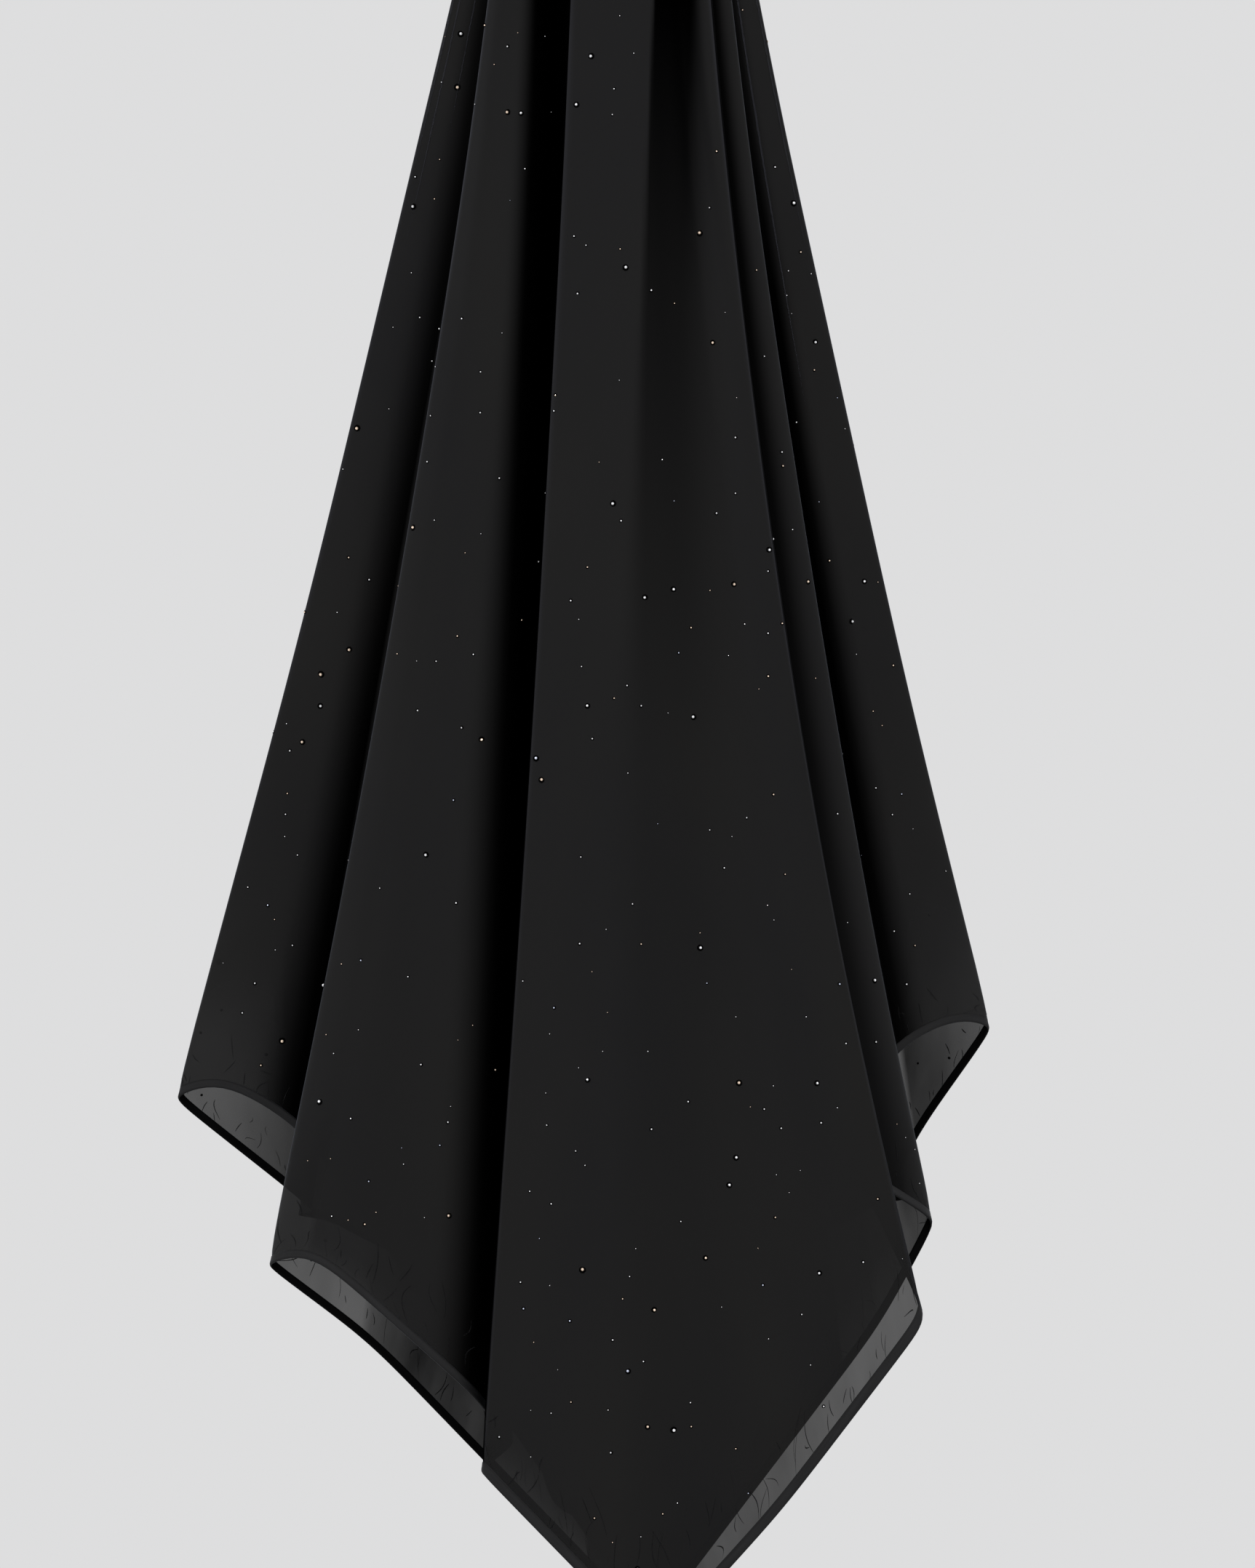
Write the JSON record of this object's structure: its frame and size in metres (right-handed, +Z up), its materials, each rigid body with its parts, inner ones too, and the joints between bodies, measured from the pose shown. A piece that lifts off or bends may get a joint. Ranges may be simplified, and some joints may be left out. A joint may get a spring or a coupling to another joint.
{
  "type": "hijab headscarf",
  "caption": "Square chiffon headscarf held up at its middle, hanging in soft pointed folds with a narrow rolled hem and tiny scattered stones.",
  "frame": {"origin": "the point at the middle of the square where the scarf is held up", "axes": "+Z up, -Y towards the side that is seen with one corner hanging in front, +X to the right of that side"},
  "size_m": [0.3264, 0.2609, 0.7786],
  "materials": {
    "chiffon": "sheer matt chiffon",
    "hem": "matt, several layers",
    "stone": "small bright stones"
  },
  "bodies": {
    "root": {"cloth": "chiffon", "hem_front_left": "hem", "hem_back_left": "hem", "hem_back_right": "hem", "hem_front_right": "hem"}
  },
  "joints": []
}
